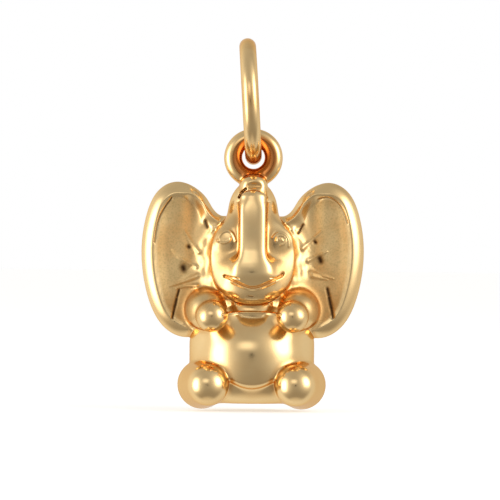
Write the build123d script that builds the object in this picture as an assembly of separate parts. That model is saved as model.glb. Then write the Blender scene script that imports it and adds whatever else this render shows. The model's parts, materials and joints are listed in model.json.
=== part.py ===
"""Elephant charm pendant: a cast gold elephant with a hanging loop soldered on its crown, on a bail ring.

Millimetres, +Z up. The elephant faces -Y. The origin is the inner top of the bail ring, where a chain lies.
"""

from build123d import *

import os
from math import cos, radians, sin, sqrt

# Bail ring
BAIL_OUTER = 6.80  # outside diameter
BAIL_WIRE = 0.90  # wire diameter
BAIL_LEAN = 3.5  # degrees that its top leans towards -X

# Hanging loop, soldered on the crown of the head
LOOP_OUTER = 3.14
LOOP_WIRE = 0.92
LOOP_Y = -0.43  # depth of the loop's plane, over the middle of the elephant's weight
LOOP_SINK = 0.66  # how far the loop's outer edge goes below the top of the trunk's tip
HANG_GAP = 0.12  # loop wire to bail wire

# Body: a barrel with rounded ends, standing a little higher than the feet
BODY_WIDTH = 6.70
BODY_DEPTH = 5.10
BODY_HEIGHT = 4.92
BODY_EDGE = 1.75  # radius of its top and bottom edges
BODY_LIFT = 0.38  # body's flat bottom above the feet's lowest point
BODY_Y = -0.10
BELLY = (6.10, 4.20, 4.60)  # width, depth, height of its round front
BELLY_STAND = 0.35  # how far the belly stands before the barrel's front

# Head
NECK_RADIUS = 1.45
NECK_HEIGHT = 2.74  # half of it inside the body, half inside the skull
SKULL = (4.30, 4.20, 4.84)
SKULL_RISE = 2.87  # its centre above the body's top
SKULL_Y = -0.20
MUZZLE = (3.84, 3.50, 2.64)
MUZZLE_DROP = 1.12  # its centre below the skull's
MUZZLE_Y = -1.30
CROWN = (2.66, 2.40, 3.50)
CROWN_RISE = 2.43  # its centre above the skull's
CROWN_Y = -0.35

# Trunk, raised along the forehead, with its tip turned back over the crown
TRUNK_RADIUS = 0.70
TRUNK_TIP_RADIUS = 0.76
TRUNK_TIP_RISE = 3.69  # centre of the tip above the skull's centre
TRUNK_TIP_Y = -0.95
TRUNK_FRONT = 0.60  # how far the trunk's root stands before the skull's front
TRUNK_ROOT_DROP = 0.60  # root's section below the skull's centre
TRUNK_END_RISE = 2.95  # end of the trunk's front face above the skull's centre
NOSTRIL = (1.00, 0.80, 0.60)
# shares: height from root to end, depth in TRUNK_FRONT before the skull's front, radius in TRUNK_RADIUS
TRUNK_SECTIONS = (
    {"rise": 0.00, "forward": -0.95, "radius": 1.75},
    {"rise": 0.16, "forward": -0.45, "radius": 1.42},
    {"rise": 0.36, "forward": -0.35, "radius": 1.10},
    {"rise": 0.65, "forward": -0.85, "radius": 1.00},
    {"rise": 1.00, "forward": -1.75, "radius": 0.98},
)

# Ears: a rolled rim round a dished face
EAR_SPAN = 11.94  # tip to tip
EAR_HEIGHT = 8.34
EAR_LOW = 3.89  # lowest point above the feet's lowest point
EAR_THICK = 1.10
EAR_EDGE = 0.40  # radius of the rolled edge
EAR_RIM = 0.55  # width of the rim round the dish
EAR_DISH = 0.45  # depth of the dish
EAR_SLOPE = 0.45  # width of the dish's sloping wall
EAR_Y = 0.15  # middle of its thickness
# shares: half the span outwards from the middle, the height upwards; its inner edge lies inside the neck and skull
EAR_OUTLINE = (
    {"out": 0.655, "up": 1.000},
    {"out": 0.850, "up": 0.945},
    {"out": 0.960, "up": 0.780},
    {"out": 1.000, "up": 0.540},
    {"out": 0.940, "up": 0.260},
    {"out": 0.800, "up": 0.070},
    {"out": 0.600, "up": 0.000},
    {"out": 0.360, "up": 0.075},
    {"out": 0.080, "up": 0.420},
    {"out": 0.180, "up": 0.765},
    {"out": 0.285, "up": 0.785},
    {"out": 0.365, "up": 0.835},
    {"out": 0.440, "up": 0.915},
)
# raised folds that fan out from the ear's root, as shares of half the span and of the height
EAR_FOLDS = (
    {"out_0": 0.46, "up_0": 0.545, "out_1": 0.62, "up_1": 0.700},
    {"out_0": 0.49, "up_0": 0.490, "out_1": 0.69, "up_1": 0.560},
    {"out_0": 0.49, "up_0": 0.400, "out_1": 0.71, "up_1": 0.360},
)
FOLD_RADIUS = 0.12

# Arms and legs: stubs with round ends, pointing forwards
HAND_RADIUS = 1.10
HAND_INSET = 1.18  # its centre in from the body's side
HAND_DROP = 0.19  # its centre below the body's top
HAND_FRONT = 0.85  # how far it stands before the body's front
ARM_LENGTH = 2.00  # shoulder to hand, along Y
ARM_SPLAY = 0.14  # shoulder's centre outside the hand's
SHOULDER_RISE = 0.15  # shoulder's centre above the hand's
FOOT_RADIUS = 1.38
FOOT_INSET = 0.90
FOOT_FRONT = 1.00
LEG_LENGTH = 2.00
LEG_SPLAY = 0.16
HIP_RISE = 0.10

# Face
EYE_RADIUS = 0.42
EYE_STAND = 0.15  # how far it stands out of the skull
EYE_OUT = 1.43
EYE_RISE = 0.99
SMILE_RADIUS = 1.85
SMILE_DROP = 1.69  # its lowest point below the skull's centre
SMILE_WIDTH = 0.15
SMILE_DEPTH = 0.15
SMILE_HALF_ANGLE = 57.0

# Places that follow from the sizes
BODY_TOP = BODY_LIFT + BODY_HEIGHT
SKULL_Z = BODY_TOP + SKULL_RISE
SKULL_CENTRE = (0, SKULL_Y, SKULL_Z)
BELLY_CENTRE = (0, BODY_Y - BODY_DEPTH / 2 - BELLY_STAND + BELLY[1] / 2, BODY_LIFT + BODY_HEIGHT / 2)
MUZZLE_CENTRE = (0, MUZZLE_Y, SKULL_Z - MUZZLE_DROP)
CROWN_CENTRE = (0, CROWN_Y, SKULL_Z + CROWN_RISE)
TIP_CENTRE = (0, TRUNK_TIP_Y, SKULL_Z + TRUNK_TIP_RISE)
EAR_FRONT = EAR_Y - EAR_THICK / 2
LOOP_RADIUS = (LOOP_OUTER - LOOP_WIRE) / 2  # to the wire's centre
LOOP_Z = TIP_CENTRE[2] + TRUNK_TIP_RADIUS - LOOP_SINK + LOOP_OUTER / 2
BAIL_RADIUS = (BAIL_OUTER - BAIL_WIRE) / 2
# lowest point of the bail wire's centre line, inside the top of the loop
PIVOT = Vector(0, LOOP_Y, LOOP_Z + LOOP_RADIUS - (LOOP_WIRE + BAIL_WIRE) / 2 - HANG_GAP)
BAIL_UP = Vector(-sin(radians(BAIL_LEAN)), 0, cos(radians(BAIL_LEAN)))
BAIL_CENTRE = PIVOT + BAIL_UP * BAIL_RADIUS
CHAIN_SEAT = BAIL_CENTRE + BAIL_UP * (BAIL_RADIUS - BAIL_WIRE / 2)


def ellipsoid(size, centre):
    """An ellipsoid with these full sizes in X, Y and Z."""
    half = tuple(length / 2 for length in size)
    return Pos(*centre) * scale(Sphere(1), by=half)


def front_of(size, centre, x, z):
    """Depth of an ellipsoid's front at a place seen from the front."""
    across, up = 2 * (x - centre[0]) / size[0], 2 * (z - centre[2]) / size[2]
    return centre[1] - size[1] / 2 * sqrt(max(1 - across**2 - up**2, 0))


def stub(start, end, radius):
    """A round bar from start to end with a ball at each end, as one turned solid."""
    length = (end - start).length
    lower = CenterArc((0, 0), radius, -90, 90)
    side = Line((radius, 0), (radius, length))
    upper = CenterArc((0, length), radius, 0, 90)
    axis = Line((0, length + radius), (0, -radius))
    turned = revolve(Plane.XZ * make_face(lower + side + upper + axis), Axis.Z)
    return Plane(origin=start, z_dir=end - start).location * turned


def body():
    """The barrel: a turned block with rounded edges, flattened from front to back."""
    half, edge = BODY_WIDTH / 2, BODY_EDGE
    foot = Polyline((0, BODY_HEIGHT), (0, 0), (half - edge, 0))
    lower = CenterArc((half - edge, edge), edge, -90, 90)
    side = Line((half, edge), (half, BODY_HEIGHT - edge))
    upper = CenterArc((half - edge, BODY_HEIGHT - edge), edge, 0, 90)
    top = Line((half - edge, BODY_HEIGHT), (0, BODY_HEIGHT))
    turned = revolve(Plane.XZ * make_face(foot + lower + side + upper + top), Axis.Z)
    return Pos(0, BODY_Y, BODY_LIFT) * scale(turned, by=(1, BODY_DEPTH / BODY_WIDTH, 1))


def limbs():
    """Both arms and both legs."""
    body_front = BODY_Y - BODY_DEPTH / 2
    hand = Vector(BODY_WIDTH / 2 - HAND_INSET, body_front - HAND_FRONT + HAND_RADIUS, BODY_TOP - HAND_DROP)
    arm = stub(hand + Vector(ARM_SPLAY, ARM_LENGTH, SHOULDER_RISE), hand, HAND_RADIUS)
    foot = Vector(BODY_WIDTH / 2 - FOOT_INSET, body_front - FOOT_FRONT + FOOT_RADIUS, FOOT_RADIUS)
    leg = stub(foot + Vector(LEG_SPLAY, LEG_LENGTH, HIP_RISE), foot, FOOT_RADIUS)
    return [arm, leg, mirror(arm, Plane.YZ), mirror(leg, Plane.YZ)]


def eyes():
    """A low round dome on each side of the trunk."""
    z = SKULL_Z + EYE_RISE
    y = front_of(SKULL, SKULL_CENTRE, EYE_OUT, z) + EYE_RADIUS - EYE_STAND
    return [Pos(side * EYE_OUT, y, z) * Sphere(EYE_RADIUS) for side in (-1, 1)]


def smile():
    """What the mouth's groove takes away: an arc seen from the front, SMILE_DEPTH deep in the muzzle."""
    arc = CenterArc((0, 0), SMILE_RADIUS, 270 - SMILE_HALF_ANGLE, 2 * SMILE_HALF_ANGLE)
    groove = Plane.XZ.offset(-MUZZLE_Y) * SlotArc(arc, SMILE_WIDTH)
    bar = Pos(0, 0, SKULL_Z - SMILE_DROP + SMILE_RADIUS) * extrude(groove, MUZZLE[1])
    core = ellipsoid([length - 2 * SMILE_DEPTH for length in MUZZLE], MUZZLE_CENTRE)
    return bar - core


def trunk():
    """The trunk up the forehead, closed by a ball, and the ball of its turned-back tip."""
    front = SKULL_Y - SKULL[1] / 2
    low, high = SKULL_Z - TRUNK_ROOT_DROP, SKULL_Z + TRUNK_END_RISE
    sections = []
    for row in TRUNK_SECTIONS:
        place = Pos(0, front - row["forward"] * TRUNK_FRONT, low + row["rise"] * (high - low))
        radius = row["radius"] * TRUNK_RADIUS
        sections.append(place * Circle(radius))
    return [loft(sections), place * Sphere(radius), Pos(*TIP_CENTRE) * Sphere(TRUNK_TIP_RADIUS)]


def ear_point(out, up):
    """A place on the right ear seen from the front, from shares of half the span and of the height."""
    return Vector(out * EAR_SPAN / 2, EAR_LOW + up * EAR_HEIGHT)


def ear_section(inset, y):
    """The ear's outline at a depth, drawn in towards its middle by inset on every side."""
    points = [ear_point(row["out"], row["up"]) for row in EAR_OUTLINE]
    low = Vector(min(point.X for point in points), min(point.Y for point in points))
    high = Vector(max(point.X for point in points), max(point.Y for point in points))
    middle, half = (low + high) / 2, (high - low) / 2
    keep_x, keep_z = 1 - inset / half.X, 1 - inset / half.Y
    moved = [(middle.X + (p.X - middle.X) * keep_x, middle.Y + (p.Y - middle.Y) * keep_z) for p in points]
    return Plane.XZ.offset(-y) * make_face(Spline(moved, periodic=True))


def ear():
    """The right ear: a thick leaf with round edges, dished in front, with folds fanning from its root."""
    leaf = extrude(ear_section(0, EAR_Y), EAR_THICK / 2, both=True)
    leaf = fillet(leaf.edges(), EAR_EDGE)
    floor_y = EAR_FRONT + EAR_DISH
    leaf -= loft([ear_section(EAR_RIM, EAR_FRONT), ear_section(EAR_RIM + EAR_SLOPE, floor_y)])
    for row in EAR_FOLDS:
        start, end = ear_point(row["out_0"], row["up_0"]), ear_point(row["out_1"], row["up_1"])
        leaf += stub(Vector(start.X, floor_y, start.Y), Vector(end.X, floor_y, end.Y), FOLD_RADIUS)
    return leaf


def hanging_loop():
    """A closed ring of round wire, seen face on from the front."""
    return Pos(0, LOOP_Y, LOOP_Z) * Rot(90, 0, 0) * Torus(LOOP_RADIUS, LOOP_WIRE / 2)


def bail_ring():
    """A closed ring of round wire through the hanging loop, seen edge on from the front."""
    return Pos(*BAIL_CENTRE) * Rot(0, -BAIL_LEAN, 0) * Rot(0, 90, 0) * Torus(BAIL_RADIUS, BAIL_WIRE / 2)


def charm_figure():
    """The elephant with its loop, as one solid."""
    figure = body() + ellipsoid(BELLY, BELLY_CENTRE) + limbs()
    figure += ellipsoid(SKULL, SKULL_CENTRE)
    figure += Pos(0, (BODY_Y + SKULL_Y) / 2, BODY_TOP) * Cylinder(NECK_RADIUS, NECK_HEIGHT)
    figure += ellipsoid(MUZZLE, MUZZLE_CENTRE)
    figure -= smile()
    figure += ellipsoid(CROWN, CROWN_CENTRE)
    figure += trunk() + eyes()
    figure -= ellipsoid(NOSTRIL, (0, TRUNK_TIP_Y - TRUNK_TIP_RADIUS, TIP_CENTRE[2]))
    figure += [ear(), mirror(ear(), Plane.YZ)]
    return figure + hanging_loop()


os.makedirs("parts", exist_ok=True)
to_seat = Pos(*(-CHAIN_SEAT))
for name, shape in {"charm_figure": charm_figure(), "bail_ring": bail_ring()}.items():
    placed = to_seat * shape
    placed.label = name
    export_step(placed, f"parts/{name}.step")
    print(name, round(placed.volume, 2), placed.bounding_box())
print("pivot", PIVOT - CHAIN_SEAT)
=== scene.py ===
"""Looks of a polished gold elephant charm on its bail ring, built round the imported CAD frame.

Blender's unit is the metre. The elephant is worked out in millimetres from the middle of its feet, with +X
to the right, +Y to the back and +Z up, and then put where the frame's charm_figure is. Places are arrays of
points, one a row, and a distance is negative inside a form.
"""

from __future__ import annotations

import json
import logging
import math
import sys
from dataclasses import dataclass, field
from enum import Enum
from typing import Any, Callable, Sequence

import bpy
import numpy as np
from mathutils import Matrix, Vector

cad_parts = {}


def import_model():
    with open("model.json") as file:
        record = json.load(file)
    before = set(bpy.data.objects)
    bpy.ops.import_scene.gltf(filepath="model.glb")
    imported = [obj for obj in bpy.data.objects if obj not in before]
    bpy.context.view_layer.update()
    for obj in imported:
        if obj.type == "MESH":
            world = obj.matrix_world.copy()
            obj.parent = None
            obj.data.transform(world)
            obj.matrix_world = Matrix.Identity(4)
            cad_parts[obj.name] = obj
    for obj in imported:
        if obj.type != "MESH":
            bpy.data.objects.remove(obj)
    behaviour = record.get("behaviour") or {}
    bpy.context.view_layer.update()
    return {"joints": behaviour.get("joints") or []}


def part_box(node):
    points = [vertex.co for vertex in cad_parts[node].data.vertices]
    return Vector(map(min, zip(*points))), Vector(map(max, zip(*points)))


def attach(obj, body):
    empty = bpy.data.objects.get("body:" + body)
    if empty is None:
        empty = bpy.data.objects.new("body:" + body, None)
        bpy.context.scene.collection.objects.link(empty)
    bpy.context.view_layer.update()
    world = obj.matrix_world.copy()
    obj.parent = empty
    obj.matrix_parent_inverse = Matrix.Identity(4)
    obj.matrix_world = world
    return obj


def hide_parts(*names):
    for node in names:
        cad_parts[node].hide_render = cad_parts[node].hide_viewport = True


LOG = logging.getLogger("elephant_charm")
MM = 0.001
BAIL_WIRE = 0.90  # thickness of the bail ring's wire, in millimetres
TINY = 1e-7  # keeps a point off a form's exact centre
FAR_GROWTH = 0.25  # how much faster a squared form's distances grow with the distance
Array = np.ndarray
Form = Callable[[Array], Array]
Pair = tuple[float, float]
Triple = tuple[float, float, float]


# Solid forms, as distances in millimetres


def joined(first: Array, second: Array | float, reach: Array | float) -> Array:
    """Two forms as one, with a soft fillet between them.

    Args:
        first: Distances to the first form.
        second: Distances to the second form.
        reach: How near the two have to be for the fillet to fill in.

    Returns:
        Distances to the joined form.
    """
    near = np.maximum(reach - np.abs(first - second), 0) / reach
    return np.minimum(first, second) - near**3 * reach / 6


def shared(first: Array, second: Array | float, reach: Array | float) -> Array:
    """What two forms have in common, with a softened edge, from distances to both."""
    return -joined(-first, -second, reach)


def one_side(places: Array) -> Array:
    """Places brought to the right half, for what is the same left and right."""
    return np.stack([np.abs(places[:, 0]), places[:, 1], places[:, 2]], 1)


def smooth_step(share: Array) -> Array:
    """An even S-curve from 0 to 1 with level ends."""
    held = np.clip(share, 0, 1)
    return held * held * held * (held * (6 * held - 15) + 10)


def ellipsoid(places: Array, centre: Sequence[float], half: Sequence[float]) -> Array:
    """Distances to an ellipsoid.

    Args:
        places: Points, one a row.
        centre: Its centre.
        half: Its half sizes along X, Y and Z.

    Returns:
        Nearly the distance of each point, negative inside.
    """
    offset = places - np.asarray(centre) + TINY
    sizes = np.asarray(half)
    outer = np.sqrt(((offset / sizes) ** 2).sum(1))
    inner = np.sqrt(((offset / sizes**2) ** 2).sum(1))
    return outer * (outer - 1) / inner


def squared_ellipsoid(places: Array, centre: Sequence[float], half: Sequence[float], powers: Pair) -> Array:
    """Distances to an ellipsoid whose sections are squarer than ellipses.

    Args:
        places: Points, one a row.
        centre: Its centre.
        half: Its half sizes along X, Y and Z.
        powers: Of its level and of its upright sections: 2 for an ellipse, more for a squarer one.

    Returns:
        Nearly the distance of each point, negative inside.
    """
    share = np.abs(places - np.asarray(centre)) / np.asarray(half) + TINY
    level = (share[:, 0] ** powers[0] + share[:, 1] ** powers[0]) ** (1 / powers[0])
    outer = (level ** powers[1] + share[:, 2] ** powers[1]) ** (1 / powers[1])
    return (outer - 1) * min(half) * (1 - FAR_GROWTH + FAR_GROWTH * outer)


def tapered_bar(places: Array, start: Sequence[float], end: Sequence[float], radii: Pair) -> Array:
    """Distances to a round bar with a ball at each end.

    Args:
        places: Points, one a row.
        start: Centre of the first ball.
        end: Centre of the second ball.
        radii: The two balls' radii.

    Returns:
        The distance of each point, negative inside.
    """
    a, along = np.asarray(start, float), np.subtract(end, start).astype(float)
    square = along @ along
    taper = radii[0] - radii[1]
    lean = square - taper * taper
    offset = places - a
    level = offset @ along
    past = level - square
    aside = ((offset * square - level[:, None] * along) ** 2).sum(1)
    low, high = level**2 * square, past**2 * square
    bound = np.sign(taper) * taper**2 * aside
    at_end = np.sqrt(aside + high) / square - radii[1]
    at_start = np.sqrt(aside + low) / square - radii[0]
    between = (np.sqrt(aside * lean / square) + level * taper) / square - radii[0]
    beyond = np.sign(past) * lean * high > bound
    ahead = np.sign(level) * lean * low < bound
    return np.where(beyond, at_end, np.where(ahead, at_start, between))


def path_distance(across: Array, up: Array, path: Array) -> tuple[Array, Array]:
    """How far flat points are from a path of straight runs.

    Args:
        across: The points' first coordinate.
        up: The points' second coordinate.
        path: The path's corners, one a row.

    Returns:
        The distance of each point, and the share of the path's runs passed at the nearest place.
    """
    best = np.full(len(across), np.inf)
    share = np.zeros(len(across))
    runs = len(path) - 1
    for index in range(runs):
        start, step = path[index], path[index + 1] - path[index]
        here = ((across - start[0]) * step[0] + (up - start[1]) * step[1]) / (step @ step)
        here = np.clip(here, 0, 1)
        gap = np.hypot(across - start[0] - here * step[0], up - start[1] - here * step[1])
        nearer = gap < best
        best = np.where(nearer, gap, best)
        share = np.where(nearer, (index + here) / runs, share)
    return best, share


def curve_through(points: Sequence[Sequence[float]], samples: int, closed: bool = False) -> Array:
    """A smooth curve through points, as many short runs.

    Args:
        points: Points that the curve passes through.
        samples: Number of points along the result.
        closed: Whether the curve returns to its first point.

    Returns:
        The curve's points, one a row.
    """
    knots = np.asarray(points, float)
    if closed:
        knots = np.vstack([knots, knots[:1]])
    spans = np.sqrt(np.sqrt(((knots[1:] - knots[:-1]) ** 2).sum(1)))
    times = np.concatenate([[0], np.cumsum(spans)])
    count = len(knots) - 1
    matrix = np.zeros((count + 1, count + 1))
    right = np.zeros((count + 1, knots.shape[1]))
    for index in range(1, count):
        before, after = spans[index - 1], spans[index]
        matrix[index, index - 1 : index + 2] = before, 2 * (before + after), after
        coming, going = knots[index] - knots[index - 1], knots[index + 1] - knots[index]
        right[index] = 6 * (going / after - coming / before)
    if closed:
        matrix[0, 0], matrix[0, count] = 1, -1
        before, after = spans[-1], spans[0]
        matrix[count, [count - 1, count, 1]] = before, 2 * (before + after), after
        right[count] = 6 * ((knots[1] - knots[0]) / after - (knots[count] - knots[count - 1]) / before)
    else:
        matrix[0, 0] = matrix[count, count] = 1
    bend = np.linalg.solve(matrix, right)
    where = np.linspace(0, times[-1], samples)
    piece = np.clip(np.searchsorted(times, where, side="right") - 1, 0, count - 1)
    width = spans[piece][:, None]
    up = ((where - times[piece])[:, None]) / width
    down = 1 - up
    straight = down * knots[piece] + up * knots[piece + 1]
    return straight + ((down**3 - down) * bend[piece] + (up**3 - up) * bend[piece + 1]) * width**2 / 6


# Marks on the surface


class Mark(Enum):
    """Kinds of small mark, with the way that each moves the surface."""

    RIDGE = -1.0
    GROOVE = 1.0


@dataclass(frozen=True)
class Stroke:
    """One mark along a path seen from the front, across and up from the middle of the feet.

    The last three are how many widths away it is felt, how deep it is felt, and its curve's runs a corner.
    """

    kind: Mark
    path: tuple[Pair, ...]
    widths: Pair
    depth: float
    # How dark the mark is painted: painted shade in some marks, painted reflections of the lens in others.
    dark: float = 0.0
    felt: float = 3.2
    behind: float = 0.2
    runs: int = 6

    def shape(self, places: Array) -> tuple[Array, Array]:
        """How strongly the stroke is felt at each place.

        Args:
            places: Points, one a row.

        Returns:
            A mask of the points near it, and the strength from 0 to 1 at those points.
        """
        corners = np.asarray(self.path)
        margin = self.felt * max(self.widths)
        x, z = places[:, 0], places[:, 2]
        low, high = corners.min(0) - margin, corners.max(0) + margin
        near = (x > low[0]) & (x < high[0]) & (z > low[1]) & (z < high[1]) & (places[:, 1] < self.behind)
        line = curve_through(corners, self.runs * len(corners)) if len(corners) > 2 else corners
        gap, share = path_distance(x[near], z[near], line)
        width = self.widths[0] + (self.widths[1] - self.widths[0]) * share
        return near, np.exp(-((gap / width) ** 2)) * width / max(self.widths)

    def press(self, places: Array, distance: Array) -> Array:
        """The distances with the surface moved in or out along the stroke.

        Args:
            places: Points, one a row.
            distance: The distances before the mark.

        Returns:
            The distances after it.
        """
        near, strength = self.shape(places)
        moved = distance.copy()
        moved[near] += self.kind.value * self.depth * strength
        return moved


# The elephant's forms


@dataclass
class Barrel:
    """The body: a rounded barrel with a rounder belly in front, a swell of chest and a collar."""

    width: float = 6.70
    depth: float = 4.80
    height: float = 4.92
    edge: float = 1.75
    lift: float = 0.38
    middle: float = 0.02
    belly: Triple = (3.02, 2.75, 2.48)
    belly_fall: float = 3.50
    belly_rise: float = 2.97
    belly_powers: Pair = (2.0, 2.1)
    belly_stand: float = 0.62
    lip: Pair = (-2.45, 1.25)
    lip_bend: Pair = (0.036, 0.30)
    lip_slant: Pair = (0.35, 0.94)
    lip_half: float = 1.75
    lip_edge: float = 0.20
    bottom_edge: float = 0.40
    crease: float = 0.22
    chest: Triple = (0.92, 0.64, 0.96)
    chest_centre: Triple = (1.55, -1.56, 4.82)
    chest_reach: float = 0.90
    collar: Triple = (2.15, 1.95, 0.55)
    collar_rise: float = 5.35
    collar_slant: float = 0.30
    collar_edge: float = 0.50
    collar_reach: float = 0.20

    def distance(self, places: Array) -> Array:
        """Distances of places to the whole body.

        Args:
            places: Points, one a row.

        Returns:
            The distances.
        """
        form = joined(self.barrel(places), self.round_belly(places), self.crease)
        form = joined(form, ellipsoid(one_side(places), self.chest_centre, self.chest), self.chest_reach)
        return joined(form, self.collar_band(places), self.collar_reach)

    def barrel(self, places: Array) -> Array:
        """Distances of places to the barrel with its rounded top and bottom edges.

        Args:
            places: Points, one a row.

        Returns:
            The distances.
        """
        round_out = np.hypot(places[:, 0], (places[:, 1] - self.middle) * self.width / self.depth)
        aside = round_out - (self.width / 2 - self.edge)
        upward = np.abs(places[:, 2] - self.lift - self.height / 2) - (self.height / 2 - self.edge)
        outside = np.hypot(np.maximum(aside, 0), np.maximum(upward, 0))
        return outside + np.minimum(np.maximum(aside, upward), 0) - self.edge

    def round_belly(self, places: Array) -> Array:
        """Distances of places to the belly, whose lip below curves up towards the feet.

        Args:
            places: Points, one a row.

        Returns:
            The distances.
        """
        stand = self.middle - self.depth / 2 - self.belly_stand
        centre = (0, stand + self.belly[1], self.belly_rise)
        low = places[:, 2] < self.belly_rise
        eased = places.copy()
        eased[low, 2] = centre[2] + (places[low, 2] - centre[2]) * self.belly[2] / self.belly_fall
        form = squared_ellipsoid(eased, centre, self.belly, self.belly_powers)
        across = np.minimum(places[:, 0] ** 2, self.lip_half**2)
        before = self.lip[0] + self.lip_bend[0] * across - places[:, 1]
        below = self.lip[1] + self.lip_bend[1] * across - places[:, 2]
        form = shared(form, self.lip_slant[0] * before + self.lip_slant[1] * below, self.lip_edge)
        return shared(form, self.lift - places[:, 2], self.bottom_edge)

    def collar_band(self, places: Array) -> Array:
        """Distances of places to the collar, which narrows upwards.

        Args:
            places: Points, one a row.

        Returns:
            The distances.
        """
        up = places[:, 2] - self.collar_rise
        level = np.hypot(places[:, 0] / self.collar[0], places[:, 1] / self.collar[1])
        slant = (level - 1) * self.collar[0] + self.collar_slant * up
        return shared(slant, np.abs(up) - self.collar[2], self.collar_edge)


@dataclass
class Limbs:
    """Arms and legs: bars that end in balls and point forwards."""

    hand: Triple = (2.14, -2.70, 5.07)
    hand_radius: float = 0.85
    wrist: Triple = (2.40, -1.74, 5.36)
    wrist_reach: float = 0.20
    shoulder: Triple = (2.44, -0.60, 5.40)
    sleeve_radii: Pair = (1.12, 1.05)
    foot: Triple = (2.34, -2.48, 1.42)
    hip: Triple = (2.66, -0.75, 1.40)
    foot_radii: Pair = (1.31, 1.12)

    def arms(self, places: Array) -> Array:
        """Distances of places to the arm on their own side.

        Args:
            places: Points, one a row.

        Returns:
            The distances.
        """
        mirrored = one_side(places)
        hand = np.linalg.norm(mirrored - np.asarray(self.hand), axis=1) - self.hand_radius
        sleeve = tapered_bar(mirrored, self.shoulder, self.wrist, self.sleeve_radii)
        return joined(sleeve, hand, self.wrist_reach)

    def legs(self, places: Array) -> Array:
        """Distances of places to the leg on their own side."""
        return tapered_bar(one_side(places), self.hip, self.foot, self.foot_radii)


@dataclass
class Head:
    """Skull, muzzle, throat, crown, neck and eyes."""

    face_centre: float = 8.08
    face_half: Triple = (2.26, 2.85, 2.46)
    face_power: float = 2.2
    face_front: float = -1.93
    face_pace: float = 0.9
    dome_fall: float = 0.37
    dome_limit: float = 1.2
    dome_power: int = 4
    brow: Triple = (9.6, 1.3, 0.30)
    cheek_edge: Pair = (0.16, 0.50)
    cheek_top: Pair = (9.3, 1.0)
    back: Triple = (2.60, 2.00, 2.70)
    back_centre: Triple = (0, -0.20, 8.17)
    back_edge: float = 0.60
    muzzle: Triple = (2.32, 1.70, 1.48)
    muzzle_centre: Triple = (-0.03, -1.08, 6.98)
    muzzle_powers: Pair = (1.7, 2.8)
    muzzle_reach: float = 0.60
    throat: Triple = (0.72, 0.68, 0.62)
    throat_centre: Triple = (1.52, -1.30, 5.86)
    throat_reach: float = 0.10
    crown: Triple = (1.33, 1.20, 1.75)
    crown_centre: Triple = (0, -0.35, 10.60)
    crown_reach: float = 0.60
    neck_radius: float = 1.60
    neck_top: float = 7.20
    neck_length: float = 2.4
    neck_middle: float = -0.15
    eye: Triple = (0.60, 0.26, 0.62)
    eye_centres: tuple[Triple, ...] = ((-1.38, -1.64, 9.05), (1.50, -1.61, 9.08))

    def distance(self, places: Array) -> Array:
        """Distances of places to the face's thick disc, the muzzle, throat and crown.

        Args:
            places: Points, one a row.

        Returns:
            The distances.
        """
        side, height = np.abs(places[:, 0]), places[:, 2]
        up = height - self.face_centre
        reach = np.where(up > 0, self.face_half[1], self.face_half[2])
        power = self.face_power
        share = ((side / self.face_half[0]) ** power + (np.abs(up) / reach) ** power) ** (1 / power)
        wall = (share - 1) * self.face_half[0]
        dome = self.dome_fall * np.minimum(share, self.dome_limit) ** self.dome_power
        lean = self.brow[2] * smooth_step((height - self.brow[0]) / self.brow[1])
        face = self.face_pace * (self.face_front + dome + lean - places[:, 1])
        muzzle = squared_ellipsoid(places, self.muzzle_centre, self.muzzle, self.muzzle_powers)
        rising = smooth_step((height - self.cheek_top[0]) / self.cheek_top[1])
        edge = self.cheek_edge[0] + self.cheek_edge[1] * rising
        form = shared(wall, joined(face, muzzle, self.muzzle_reach), edge)
        rear = np.stack([side, np.maximum(places[:, 1], self.back_centre[1]), height], 1)
        form = shared(form, ellipsoid(rear, self.back_centre, self.back), self.back_edge)
        form = joined(form, ellipsoid(places, self.crown_centre, self.crown), self.crown_reach)
        throat = ellipsoid(one_side(places), self.throat_centre, self.throat)
        return joined(form, throat, self.throat_reach)

    def neck(self, places: Array) -> Array:
        """Distances of places to the short neck.

        Args:
            places: Points, one a row.

        Returns:
            The distances.
        """
        middle = self.neck_top - self.neck_length / 2
        round_out = np.hypot(places[:, 0], places[:, 1] - self.neck_middle) - self.neck_radius
        return np.maximum(round_out, np.abs(places[:, 2] - middle) - self.neck_length / 2)

    def eyes(self, places: Array) -> Array:
        """Distances of places to the two flat domes of the eyes."""
        left, right = (ellipsoid(places, centre, self.eye) for centre in self.eye_centres)
        return np.minimum(left, right)


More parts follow.
